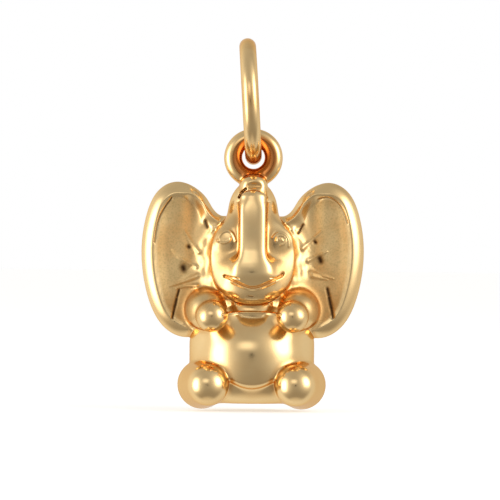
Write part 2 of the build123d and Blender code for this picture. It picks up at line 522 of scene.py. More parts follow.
@dataclass
class Trunk:
    """The trunk raised along the forehead, with a turned-back tip above."""

    path: tuple[Pair, ...] = (
        (-2.415, 7.45), (-2.416, 7.65), (-2.414, 7.85), (-2.420, 8.05), (-2.394, 8.25), (-2.352, 8.45),
        (-2.320, 8.70), (-2.284, 9.10), (-2.253, 9.60), (-2.223, 10.10), (-2.181, 10.60), (-2.118, 11.05),
        (-2.050, 11.36),
    )
    samples: int = 70
    half_width: float = 0.72
    half_depth: float = 0.44
    root_width: float = 0.88
    root_share: float = 0.45
    squareness: Pair = (3.5, 3.0)
    rounding: Pair = (0.80, 0.20)
    room: Triple = (2.2, 6.2, 12.6)
    behind: float = 0.2
    far: float = 9.0
    tip: Triple = (0.77, 0.72, 1.02)
    tip_centre: Triple = (0.03, -0.95, 11.60)
    tip_powers: Pair = (2.2, 3.0)
    hollow: Triple = (0.52, 0.22, 0.20)
    hollow_centre: Triple = (0.12, -1.76, 12.04)
    hollow_edge: float = 0.20

    def __post_init__(self) -> None:
        """Works out the smooth line that the trunk follows."""
        self.line = curve_through(self.path, self.samples)

    def distance(self, places: Array) -> Array:
        """Distances of places to the trunk, worked out only in the room round it.

        Args:
            places: Points, one a row.

        Returns:
            The distances.
        """
        form = np.full(len(places), self.far)
        aside, low, high = self.room
        near = (np.abs(places[:, 0]) < aside) & (places[:, 2] > low) & (places[:, 2] < high)
        near &= places[:, 1] < self.behind
        close = places[near]
        gap, share = path_distance(close[:, 1], close[:, 2], self.line)
        inside = close[:, 1] > np.interp(close[:, 2], self.line[:, 1], self.line[:, 0])
        gap = np.where(inside & (share < 1), np.maximum(self.line[0, 1] - close[:, 2], 0), gap)
        rounder = smooth_step((share - self.rounding[0]) / self.rounding[1])
        power = 2 + (np.where(close[:, 0] < 0, *self.squareness) - 2) * (1 - rounder)
        narrowed = smooth_step(share / self.root_share)
        width = self.half_width + (self.root_width - self.half_width) * (1 - narrowed)
        aside_share = np.abs(close[:, 0]) / width
        round_out = (aside_share**power + (gap / self.half_depth) ** power) ** (1 / power)
        form[near] = (round_out - 1) * self.half_depth
        return form

    def curled_tip(self, places: Array) -> Array:
        """Distances of places to the tip over the crown, hollowed in front."""
        ball = squared_ellipsoid(places, self.tip_centre, self.tip, self.tip_powers)
        return shared(ball, -ellipsoid(places, self.hollow_centre, self.hollow), self.hollow_edge)


@dataclass
class Ears:
    """Two ears: a rolled rim round a dished face that rises towards the cheek."""

    span: float
    height: float = 8.34
    low: float = 3.89
    hub: Pair = (3.60, 8.00)
    middle: float = 0.15
    half_thick: float = 0.55
    crest_in: float = 0.62
    crest_near: float = 0.36
    crest_round: float = 0.06
    rim_power: float = 1.38
    wall_outer: Pair = (0.13, 0.012)
    wall_inner: Pair = (0.50, 0.27)
    wall_turns: Pair = (3.0, 4.1)
    wall_low: Pair = (8.0, 1.2)
    wall_power: float = 1.3
    dish_drop: float = 0.19
    dish_reach: float = 0.50
    dish_shares: Pair = (0.55, 0.45)
    dish_rise: Pair = (5.0, 2.5)
    slope: float = 0.55
    bowl: Pair = (3.65, 8.10)
    bowl_half: Pair = (2.05, 4.10)
    bowl_depth: float = 0.10
    bowl_start: float = 1.6
    back_sink: float = 0.12
    root_centre: float = 8.00
    root: Pair = (3.05, 2.75)
    root_share: float = 0.27
    root_edges: Pair = (0.60, 0.30)
    root_rise: float = 0.42
    lumps_rise: float = 0.020
    lumps_reach: Pair = (1.04, 0.2)
    lump_waves: tuple[Triple, ...] = ((8.1, 4.7, 0.0), (-5.1, 7.3, 1.0), (11.7, 0.0, 0.6))
    swell: Pair = (4.9, 3.7)
    swell_rise: float = 0.22
    swell_share: float = 0.55
    grain_inset: Pair = (0.1, 0.25)
    grain_near: float = 0.5
    grain_turn: Pair = (0.1, 0.4)
    samples: tuple[int, int] = (2400, 4097)
    outline: tuple[Pair, ...] = (
        (0.655, 1.000), (0.850, 0.945), (0.960, 0.780), (1.000, 0.540), (0.940, 0.260), (0.800, 0.070),
        (0.600, 0.000), (0.360, 0.075), (0.080, 0.420), (0.180, 0.765), (0.285, 0.785), (0.365, 0.835),
        (0.440, 0.915),
    )

    def __post_init__(self) -> None:
        """Works out the outline's reach and its change for every direction from the hub."""
        corners = [(out * self.span / 2, self.low + up * self.height) for out, up in self.outline]
        rim = curve_through(corners, self.samples[0], closed=True) - np.asarray(self.hub)
        turn = np.arctan2(rim[:, 1], rim[:, 0])
        order = np.argsort(turn)
        turn, reach = turn[order], np.hypot(rim[:, 0], rim[:, 1])[order]
        self.turns = np.linspace(-math.pi, math.pi, self.samples[1])
        self.reach = np.interp(self.turns, turn, reach, period=2 * math.pi)
        self.change = np.gradient(self.reach, self.turns)

    def inward(self, places: Array) -> Array:
        """How far places are inside the outline, seen from the front.

        Args:
            places: Points, one a row.

        Returns:
            The distance inwards, negative outside.
        """
        across, up = np.abs(places[:, 0]) - self.hub[0], places[:, 2] - self.hub[1]
        turn = np.arctan2(up, across)
        edge = np.interp(turn, self.turns, self.reach)
        lean = np.interp(turn, self.turns, self.change) / edge
        return (edge - np.hypot(across, up)) / np.sqrt(1 + lean**2)

    def distance(self, places: Array) -> Array:
        """Distances of places to both ears.

        Args:
            places: Points, one a row.

        Returns:
            The distances.
        """
        inward = self.inward(places)
        side, height, depth = np.abs(places[:, 0]), places[:, 2], places[:, 1] - self.middle
        outer = smooth_step((side - self.wall_turns[0]) / (self.wall_turns[1] - self.wall_turns[0]))
        crest = self.crest_near + (self.crest_in - self.crest_near) * outer
        outer = np.maximum(outer, smooth_step((self.wall_low[0] - height) / self.wall_low[1]))
        outside = np.maximum(crest - inward, 0) / crest
        power = np.where(depth < 0, self.rim_power, 2.0)
        rim = (outside**power + (np.abs(depth) / self.half_thick) ** power) ** (1 / power) - 1
        within = np.maximum(inward - crest, 0)
        front = self.dished(side, height, within, outer) - self.root_swell(side, height, within)
        back = self.half_thick - self.back_sink * smooth_step(within / self.slope)
        sheet = np.maximum(front - depth, depth - back)
        return np.where(inward < crest, rim * self.half_thick, sheet)

    def dished(self, side: Array, height: Array, within: Array, outer: Array) -> Array:
        """Where the front of the dish lies: down a wall from the rim, then into a shallow bowl.

        Args:
            side: Places' distance from the middle of the face.
            height: Their height.
            within: How far they are inside the rim's crest.
            outer: How far they are from the cheek, from 0 to 1.

        Returns:
            The front's depth at each place.
        """
        width = self.wall_inner[0] + (self.wall_outer[0] - self.wall_inner[0]) * outer
        drop = self.wall_inner[1] + (self.wall_outer[1] - self.wall_inner[1]) * outer
        started = np.hypot(within, self.crest_round) - self.crest_round
        wall = drop * (1 - (1 - np.minimum(started / width, 1)) ** self.wall_power)
        rising = smooth_step((height - self.dish_rise[0]) / self.dish_rise[1])
        dish = self.dish_drop * (1 - np.exp(-started / self.dish_reach))
        dish = dish * (self.dish_shares[0] + self.dish_shares[1] * rising)
        out, up = (side - self.bowl[0]) / self.bowl_half[0], (height - self.bowl[1]) / self.bowl_half[1]
        bowl = self.bowl_depth * (1 - out**2 - up**2) * smooth_step(within / (self.bowl_start * self.slope))
        return -self.half_thick + wall + dish + bowl

    def root_swell(self, side: Array, height: Array, within: Array) -> Array:
        """How far the front swells towards the ear's root, with small lumps where the folds start.

        Args:
            side: Places' distance from the middle of the face.
            height: Their height.
            within: How far they are inside the rim's crest.

        Returns:
            The swell at each place.
        """
        around = np.hypot(side / self.root[0], (height - self.root_centre) / self.root[1])
        ramp = shared((1 - around) / self.root_share, 0.0, self.root_edges[0])
        ramp = joined(ramp, 1.0, self.root_edges[1])
        spread = np.hypot(side / self.swell[0], (height - self.root_centre) / self.swell[1])
        swell = self.swell_rise * smooth_step((1 - spread) / self.swell_share)
        lumps = sum(np.sin(across * side + up * height + start) for across, up, start in self.lump_waves)
        lumps = self.lumps_rise * lumps * smooth_step((self.lumps_reach[0] - around) / self.lumps_reach[1])
        return (self.root_rise * ramp + swell + lumps) * smooth_step(within / self.slope)

    def grain(self, places: Array) -> Array:
        """How much of the dish's satin grain each place has, from 0 to 1.

        Args:
            places: Points, one a row.

        Returns:
            The grain at each place.
        """
        within = self.inward(places) - self.crest_in
        inside = smooth_step((within - self.grain_inset[0]) / self.grain_inset[1])
        away = smooth_step((np.abs(places[:, 0]) - self.root[0] + self.grain_turn[0]) / self.grain_turn[1])
        return inside * (self.grain_near + (1 - self.grain_near) * away) * (places[:, 1] < self.middle)


@dataclass
class HangingLoop:
    """The closed loop soldered on the crown."""

    centre: Triple
    outer: float = 3.14
    wire: float = 0.92
    inner_growth: float = 0.09
    # The next four set where the loop's inner side is painted with shade, more on the right than on the left.
    inner_turn: Pair = (0.26, 0.38)
    inner_fade: float = 0.40
    inner_start: float = -0.6
    front_fade: float = 0.15

    def distance(self, places: Array) -> Array:
        """Distances of places to the loop, whose wire is thicker inwards below the top.

        Args:
            places: Points, one a row.

        Returns:
            The distances.
        """
        radius = (self.outer - self.wire) / 2
        round_out = np.hypot(places[:, 0] - self.centre[0], places[:, 2] - self.centre[2]) - radius
        growth = self.inner_growth * (1 - smooth_step((places[:, 2] - self.centre[2]) / self.outer + 0.5))
        round_out = np.where(round_out < 0, round_out * self.wire / (self.wire + 2 * growth), round_out)
        return np.hypot(round_out, places[:, 1] - self.centre[1]) - self.wire / 2

    def inner(self, places: Array) -> Array:
        """How much painted shade each place gets on the loop's inner side, from 0 to 1, more on the right
        than on the left.

        Args:
            places: Points, one a row.

        Returns:
            The share of each place, 0 off the loop.
        """
        radius = (self.outer - self.wire) / 2
        out = np.hypot(places[:, 0] - self.centre[0], places[:, 2] - self.centre[2]) - radius
        side = np.where(places[:, 0] < self.centre[0], *self.inner_turn)
        own = smooth_step((places[:, 1] - self.centre[1] + self.wire / 2) / self.front_fade + 1)
        near = (out > self.inner_start * self.wire) & (places[:, 2] > self.centre[2] - self.outer / 2)
        return smooth_step((side - out / self.wire) / self.inner_fade) * own * near


# From distances to a mesh


@dataclass
class Mesher:
    """Covers a form with triangles, finer where the surface turns."""

    pitch: float = 0.12
    batches: int = 12
    relaxes: int = 2
    rounds: int = 2
    turn: float = 9.0
    shortest: float = 0.022
    sag: float = 0.1
    step: float = 0.004
    least_square: float = 0.05

    def slope(self, form: Form, places: Array) -> tuple[Array, Array]:
        """Distance and its gradient at places.

        Args:
            form: Gives distances for places.
            places: Points, one a row.

        Returns:
            The distances and the gradients.
        """
        gradient = np.empty_like(places)
        total = np.zeros(len(places))
        for axis in range(3):
            shift = np.zeros(3)
            shift[axis] = self.step
            ahead, behind = form(places + shift), form(places - shift)
            gradient[:, axis] = (ahead - behind) / (2 * self.step)
            total += ahead + behind
        return total / 6, gradient

    def settle(self, form: Form, places: Array, times: int = 2) -> tuple[Array, Array]:
        """Moves places onto the form's surface.

        Args:
            form: Gives distances for places.
            places: Points near the surface, one a row.
            times: Number of moves.

        Returns:
            The moved points, and the surface's outward unit normals there.
        """
        for _ in range(times):
            distance, gradient = self.slope(form, places)
            square = np.maximum((gradient**2).sum(1), self.least_square)
            move = np.clip(distance / square, -self.pitch, self.pitch)
            places = places - move[:, None] * gradient
        _, gradient = self.slope(form, places)
        return places, gradient / np.maximum(np.linalg.norm(gradient, axis=1), TINY)[:, None]

    def cover(self, form: Form, low: Array, high: Array) -> tuple[Array, Array, Array]:
        """The form's surface inside a box.

        Args:
            form: Gives distances for places.
            low: The box's lowest corner.
            high: The box's highest corner.

        Returns:
            The mesh's points, its triangles, and the unit normal at each point.
        """
        points, faces = self.nets(form, low, high)
        for _ in range(self.relaxes):
            points = self.relax(points, faces)
            points, normals = self.settle(form, points)
        for _ in range(self.rounds):
            points, faces, normals = self.refine(form, points, faces, normals)
        return points, faces, normals

    def nets(self, form: Form, low: Array, high: Array) -> tuple[Array, Array]:
        """A first net of even triangles round the form.

        Args:
            form: Gives distances for places.
            low: The box's lowest corner.
            high: The box's highest corner.

        Returns:
            The net's points and triangles.
        """
        counts = np.ceil((high - low) / self.pitch).astype(int) + 1
        axes = [low[axis] + self.pitch * np.arange(counts[axis]) for axis in range(3)]
        grid = np.stack(np.meshgrid(*axes, indexing="ij"), -1).reshape(-1, 3)
        values = np.concatenate([form(part) for part in np.array_split(grid, self.batches)]).reshape(counts)
        inside = values < 0
        corner = [slice(None, -1), slice(1, None)]
        shape = counts - 1
        total, crossings = np.zeros((*shape, 3)), np.zeros(shape)
        for axis in range(3):
            others = [other for other in range(3) if other != axis]
            for first in (0, 1):
                for second in (0, 1):
                    pick = [None] * 3
                    pick[others[0]], pick[others[1]] = corner[first], corner[second]
                    pick[axis] = corner[0]
                    here = values[tuple(pick)]
                    pick[axis] = corner[1]
                    there = values[tuple(pick)]
                    crossed = (here < 0) != (there < 0)
                    share = np.where(crossed, here / np.where(crossed, here - there, 1), 0)
                    place = np.zeros(3)
                    place[others[0]], place[others[1]] = first, second
                    total += crossed[..., None] * place
                    total[..., axis] += share
                    crossings += crossed
        mixed = crossings > 0
        index = np.full(shape, -1)
        index[mixed] = np.arange(mixed.sum())
        cells = np.argwhere(mixed)
        points = low + self.pitch * (cells + total[mixed] / crossings[mixed][:, None])
        faces = []
        for axis in range(3):
            one, two = (axis + 1) % 3, (axis + 2) % 3
            near, far = [slice(None)] * 3, [slice(None)] * 3
            near[axis], far[axis] = slice(None, -1), slice(1, None)
            flips = inside[tuple(near)] != inside[tuple(far)]
            edges = np.argwhere(flips)
            kept = (edges[:, one] > 0) & (edges[:, one] < shape[one])
            edges = edges[kept & (edges[:, two] > 0) & (edges[:, two] < shape[two])]
            ring = []
            for back_one, back_two in ((0, 0), (1, 0), (1, 1), (0, 1)):
                cell = edges.copy()
                cell[:, one] -= back_one
                cell[:, two] -= back_two
                ring.append(index[tuple(cell.T)])
            quads = np.stack(ring, 1)
            outward = inside[tuple(edges.T)]
            quads[~outward] = quads[~outward][:, ::-1]
            faces.append(quads)
        quads = np.concatenate(faces)
        short = np.linalg.norm(points[quads[:, 0]] - points[quads[:, 2]], axis=1)
        other = np.linalg.norm(points[quads[:, 1]] - points[quads[:, 3]], axis=1)
        first = np.where((short <= other)[:, None], quads[:, [0, 1, 2]], quads[:, [1, 2, 3]])
        second = np.where((short <= other)[:, None], quads[:, [0, 2, 3]], quads[:, [1, 3, 0]])
        return points, np.concatenate([first, second])

    def relax(self, points: Array, faces: Array) -> Array:
        """Moves points half way to the middle of their neighbours.

        Args:
            points: The mesh's points.
            faces: Its triangles.

        Returns:
            The moved points.
        """
        total, count = np.zeros_like(points), np.zeros(len(points))
        for first, second in ((0, 1), (1, 2), (2, 0)):
            for one, two in ((first, second), (second, first)):
                np.add.at(total, faces[:, one], points[faces[:, two]])
                np.add.at(count, faces[:, one], 1)
        return (points + total / np.maximum(count, 1)[:, None]) / 2

    def refine(self, form: Form, points: Array, faces: Array, normals: Array) -> tuple[Array, Array, Array]:
        """Splits the edges along which the surface turns, and keeps the mesh closed.

        Args:
            form: Gives distances for places.
            points: The mesh's points.
            faces: Its triangles.
            normals: Unit normals at its points.

        Returns:
            The new points, triangles and normals.
        """
        sides = np.stack([faces[:, [0, 1]], faces[:, [1, 2]], faces[:, [2, 0]]], 1)
        ordered = np.sort(sides, 2)
        keys = ordered[..., 0].astype(np.int64) * len(points) + ordered[..., 1]
        unique, lookup = np.unique(keys, return_inverse=True)
        lookup = lookup.reshape(keys.shape)
        start, end = unique // len(points), unique % len(points)
        length = np.linalg.norm(points[start] - points[end], axis=1)
        middle = (points[start] + points[end]) / 2
        off = np.abs(form(middle)) > self.sag * self.shortest
        turned = (normals[start] * normals[end]).sum(1) < math.cos(math.radians(self.turn))
        split = (turned | off) & (length > 2 * self.shortest)
        fresh = np.full(len(unique), -1)
        fresh[split] = len(points) + np.arange(split.sum())
        added, turned_to = self.settle(form, middle[split])
        points, normals = np.concatenate([points, added]), np.concatenate([normals, turned_to])
        mids = fresh[lookup]
        marked = mids >= 0
        count = marked.sum(1)
        result = [faces[count == 0]]
        for turn in range(3):
            a, b, c = (np.roll(faces, -turn, 1)[:, column] for column in range(3))
            ab, bc, ca = (np.roll(mids, -turn, 1)[:, column] for column in range(3))
            on = np.roll(marked, -turn, 1)
            one = on[:, 0] & ~on[:, 1] & ~on[:, 2]
            result += [np.stack([a, ab, c], 1)[one], np.stack([ab, b, c], 1)[one]]
            two = on[:, 0] & on[:, 1] & ~on[:, 2]
            result += [np.stack(corner, 1)[two] for corner in ((ab, b, bc), (a, ab, bc), (a, bc, c))]
            if turn == 0:
                three = count == 3
                for corner in ((a, ab, ca), (ab, b, bc), (ca, bc, c), (ab, bc, ca)):
                    result.append(np.stack(corner, 1)[three])
        return points, np.concatenate(result), normals


def mesh_object(
    name: str,
    points: Array,
    faces: Array,
    material: Any,
    normals: Array | None = None,
    features: dict[str, Array] | None = None,
) -> Any:
    """Makes a smooth triangle mesh object.

    Args:
        name: The object's name.
        points: Points in metres.
        faces: Triangles.
        material: The material it wears.
        normals: Unit normals at the points.
        features: Numbers at the points, by attribute name.

    Returns:
        The object.
    """
    mesh = bpy.data.meshes.new(name)
    mesh.vertices.add(len(points))
    mesh.vertices.foreach_set("co", points.astype(np.float32).ravel())
    mesh.loops.add(faces.size)
    mesh.loops.foreach_set("vertex_index", faces.astype(np.int32).ravel())
    mesh.polygons.add(len(faces))
    mesh.polygons.foreach_set("loop_start", np.arange(0, faces.size, 3, dtype=np.int32))
    mesh.update(calc_edges=True)
    mesh.validate()
    mesh.shade_smooth()
    for label, values in (features or {}).items():
        mesh.attributes.new(label, "FLOAT", "POINT").data.foreach_set("value", values.astype(np.float32))
    if normals is not None:
        mesh.normals_split_custom_set_from_vertices(normals.tolist())
    mesh.materials.append(material)
    made = bpy.data.objects.new(name, mesh)
    bpy.context.scene.collection.objects.link(made)
    return made


# Shader expressions and finishes


class Value:
    """A number socket that Python's operators can work on."""

    def __init__(self, bench: "Bench", socket: Any) -> None:
        """Holds a socket of the bench's tree."""
        self.bench, self.socket = bench, socket

    def _with(self, operation: str, *others: Any) -> "Value":
        """The result of one Math node on this value and others."""
        return self.bench.value("ShaderNodeMath", {"operation": operation}, (self, *others))

    def __add__(self, other: Any) -> "Value":
        """This plus another."""
        return self._with("ADD", other)

    def __radd__(self, other: Any) -> "Value":
        """Another plus this."""
        return self._with("ADD", other)

    def __sub__(self, other: Any) -> "Value":
        """This less another."""
        return self._with("SUBTRACT", other)

    def __rsub__(self, other: Any) -> "Value":
        """Another less this."""
        return (self * -1) + other

    def __mul__(self, other: Any) -> "Value":
        """This times another."""
        return self._with("MULTIPLY", other)

    def __rmul__(self, other: Any) -> "Value":
        """Another times this."""
        return self._with("MULTIPLY", other)

    def __pow__(self, other: Any) -> "Value":
        """This to a power."""
        return self._with("POWER", other)

    def over(self, other: Any) -> "Value":
        """The larger of this and another."""
        return self._with("MAXIMUM", other)

    def eased(self, start: float, end: float) -> "Value":
        """An S-curve from 0 at start to 1 at end."""
        inputs = (self, start, end, 0.0, 1.0)
        return self.bench.value("ShaderNodeMapRange", {"interpolation_type": "SMOOTHSTEP"}, inputs)


class Bench:
    """A node tree with one way to add every node."""

    def __init__(self, tree: Any) -> None:
        """Clears the tree."""
        self.tree = tree
        tree.nodes.clear()

    def node(self, kind: str, settings: dict[str, Any] | None = None, inputs: Any = ()) -> Any:
        """Adds a node.

        Args:
            kind: Blender's type name of the node.
            settings: Its properties, set before its sockets.
            inputs: Values or links of its sockets, in order, or by name.

        Returns:
            The node's outputs.
        """
        added = self.tree.nodes.new(kind)
        for name, value in (settings or {}).items():
            setattr(added, name, value)
        pairs = inputs.items() if isinstance(inputs, dict) else enumerate(inputs)
        for key, value in pairs:
            source = value.socket if isinstance(value, Value) else value
            if isinstance(source, bpy.types.NodeSocket):
                self.tree.links.new(source, added.inputs[key])
            elif source is not None:
                added.inputs[key].default_value = source
        return added.outputs

    def value(
        self, kind: str, settings: dict[str, Any] | None = None, inputs: Any = (), output: Any = 0
    ) -> Value:
        """Adds a node and gives one of its outputs as a value.

        Args:
            kind: Blender's type name of the node.
            settings: Its properties, set before its sockets.
            inputs: Values or links of its sockets.
            output: Name or number of the output.

        Returns:
            The output as a value.
        """
        return Value(self, self.node(kind, settings, inputs)[output])

    def mixed(self, share: Any, first: Any, second: Any) -> Any:
        """A colour between two colours.

        Args:
            share: How much of the second there is.
            first: The first colour.
            second: The second colour.

        Returns:
            The mixed colour's socket.
        """
        inputs = {"Factor": share, 6: first, 7: second}
        return self.node("ShaderNodeMix", {"data_type": "RGBA"}, inputs)[2]


@dataclass(frozen=True)
class Fade:
    """Where a tint sets in along a mask, where it is full, and how strong it gets."""

    start: float
    end: float
    strength: float = 1.0

    def along(self, mask: Value) -> Value:
        """The tint's share along the mask."""
        return mask.eased(self.start, self.end) * self.strength


@dataclass(frozen=True)
class Speckle:
    """A noise pattern: its turns a millimetre, its detail and its roughness."""

    rate: float
    detail: float
    roughness: float = 0.5

    def lay(self, bench: Bench, place: Any) -> Value:
        """Adds the pattern to a tree.

        Args:
            bench: The tree.
            place: The socket of the place where it is looked up.

        Returns:
            The pattern's value.
        """
        inputs = {"Vector": place, "Scale": self.rate / MM}
        inputs |= {"Detail": self.detail, "Roughness": self.roughness}
        return bench.value("ShaderNodeTexNoise", None, inputs)


@dataclass(frozen=True)
class PolishedGold:
    """Polished yellow gold with satin grain in the ears' dishes, made redder in creases by painted shade, and
    with marks painted dark as painted shade and painted reflections of the lens.
    """

    name: str
    colour: Triple = (0.95, 0.68, 0.34)
    # A redder gold: painted shade in creases, in the trunk's hollow and low in the dishes, and also the tone
    # of the random patina clouds.
    deep: Triple = (0.80, 0.44, 0.15)
    satin: Triple = (0.91, 0.66, 0.32)
    shade: Triple = (0.52, 0.37, 0.14)
    # Painted shade on the loop's inner side.
    loop_shade_red: Triple = (0.62, 0.19, 0.04)
    # Painted shade in the slit, under the collar, along the rims and low in the dishes, and painted
    # reflections of the lens in small marks.
    painted_dark: Triple = (0.10, 0.05, 0.02)
    edge_tint: Triple = (0.84, 0.66, 0.48)
    scratches: Speckle = Speckle(1.1, 5.0, 0.6)
    clouds: Speckle = Speckle(0.625, 2.0)
    grit: Speckle = Speckle(10.0, 3.0)
    # Painted shade: how the redder gold sets in along the closed-in measure, and on the loop's inner side.
    creased: Fade = Fade(0.1, 0.9, 0.75)
    loop_inner_shading: Fade = Fade(1.0, 1.9, 0.85)
    clouded: Fade = Fade(0.35, 0.7)
    gritty: Fade = Fade(0.40, 0.72, 0.40)
    worn: Fade = Fade(0.45, 0.75, 0.06)
    patina: float = 0.20
    satin_patina: float = 0.35
    roughness: float = 0.18
    grain_roughness: float = 0.30
    painted_dark_roughness: float = 0.3
    grit_height: Pair = (0.9, 0.04)
    scratch_height: float = 0.05
    cloud_height: float = 0.3
    bump: Pair = (0.35, 0.012)

    def make(self) -> Any:
        """Builds the material.

        Returns:
            The material.
        """
        material = bpy.data.materials.new(self.name)
        material.use_nodes = True
        bench = Bench(material.node_tree)
        place = bench.node("ShaderNodeTexCoord")["Object"]
        painted_shade, grain, dark = (
            bench.value("ShaderNodeAttribute", {"attribute_name": name}, (), "Fac")
            for name in ("painted_shade", "grain", "dark")
        )
        patterns = (self.scratches, self.clouds, self.grit)
        scratch, cloud, grit = (pattern.lay(bench, place) for pattern in patterns)
        tint = (*self.colour, 1)
        # Painted shade and painted reflections among the tints: redder in creases and on the loop's inner
        # side, dark in slits, lens specks and lower dishes. The satin, clouds and grit are the metal's own
        # grain and tone.
        for share, colour in (
            (grain, self.satin),
            (self.creased.along(painted_shade), self.deep),
            (self.clouded.along(cloud) * (grain * self.satin_patina + self.patina), self.deep),
            (self.gritty.along(grit) * grain, self.shade),
            (self.loop_inner_shading.along(painted_shade), self.loop_shade_red),
            (dark, self.painted_dark),
        ):
            tint = bench.mixed(share, tint, (*colour, 1))
        roughness = self.roughness + self.worn.along(scratch)
        roughness = roughness + grain * self.grain_roughness + dark * self.painted_dark_roughness
        height = grit * (grain * self.grit_height[0] + self.grit_height[1])
        height = height + scratch * self.scratch_height + cloud * self.cloud_height
        bump = {"Strength": self.bump[0], "Distance": self.bump[1] * MM, "Height": height}
        inputs = {
            "Base Color": tint,
            "Metallic": 1.0,
            "Roughness": roughness,
            "Normal": bench.node("ShaderNodeBump", None, bump)["Normal"],
            "Specular Tint": (*self.edge_tint, 1),
        }
        shader = bench.node("ShaderNodeBsdfPrincipled", None, inputs)["BSDF"]
        bench.node("ShaderNodeOutputMaterial", None, {"Surface": shader})
        return material


def plain_material(name: str, colour: Triple, glow: float) -> Any:
    """A plain matt material for the studio.

    Args:
        name: The material's name.
        colour: Its colour.
        glow: How much it shines of itself.

    Returns:
        The material.
    """
    material = bpy.data.materials.new(name)
    material.use_nodes = True
    bench = Bench(material.node_tree)
    inputs = {"Base Color": (*colour, 1), "Roughness": 1.0, "Specular IOR Level": 0.0}
    inputs |= {"Emission Color": (1, 1, 1, 1), "Emission Strength": glow}
    shader = bench.node("ShaderNodeBsdfPrincipled", None, inputs)["BSDF"]
    bench.node("ShaderNodeOutputMaterial", None, {"Surface": shader})
    return material


# The two pieces


@dataclass(frozen=True)
class Fillets:
    """How far the metal flows from each form into the next."""

    hips: float = 0.38
    trunk: Pair = (0.80, 0.50)
    trunk_rise: Pair = (7.7, 0.9)
    eyes: float = 0.30
    tip: float = 0.16
    arms: float = 0.75
    neck: float = 0.25
    ears: float = 0.20
    head: float = 0.32
    loop: float = 0.22


@dataclass(frozen=True)
class ShadePainting:
    """Where painted shade turns the gold redder or darker than in the open."""

    # Painted shade: probes and gain set how closed-in places turn redder, hood tints the trunk's hollow, and
    # the dish entries make the lower dishes redder (the right one more) and darker.
    probes: Triple = (0.10, 0.25, 0.50)
    gain: float = 1.6
    hood: Pair = (0.7, 0.15)
    dish_fall: Pair = (7.8, 2.4)
    dish_red: Pair = (0.55, 0.18)
    dish_painted_dark: float = 0.19
    painted_dark_power: float = 0.9

    def lower_dish(self, points: Array) -> Array:
        """How far each point is down in the ears, from 0 to 1."""
        return smooth_step((self.dish_fall[0] - points[:, 2]) / self.dish_fall[1])


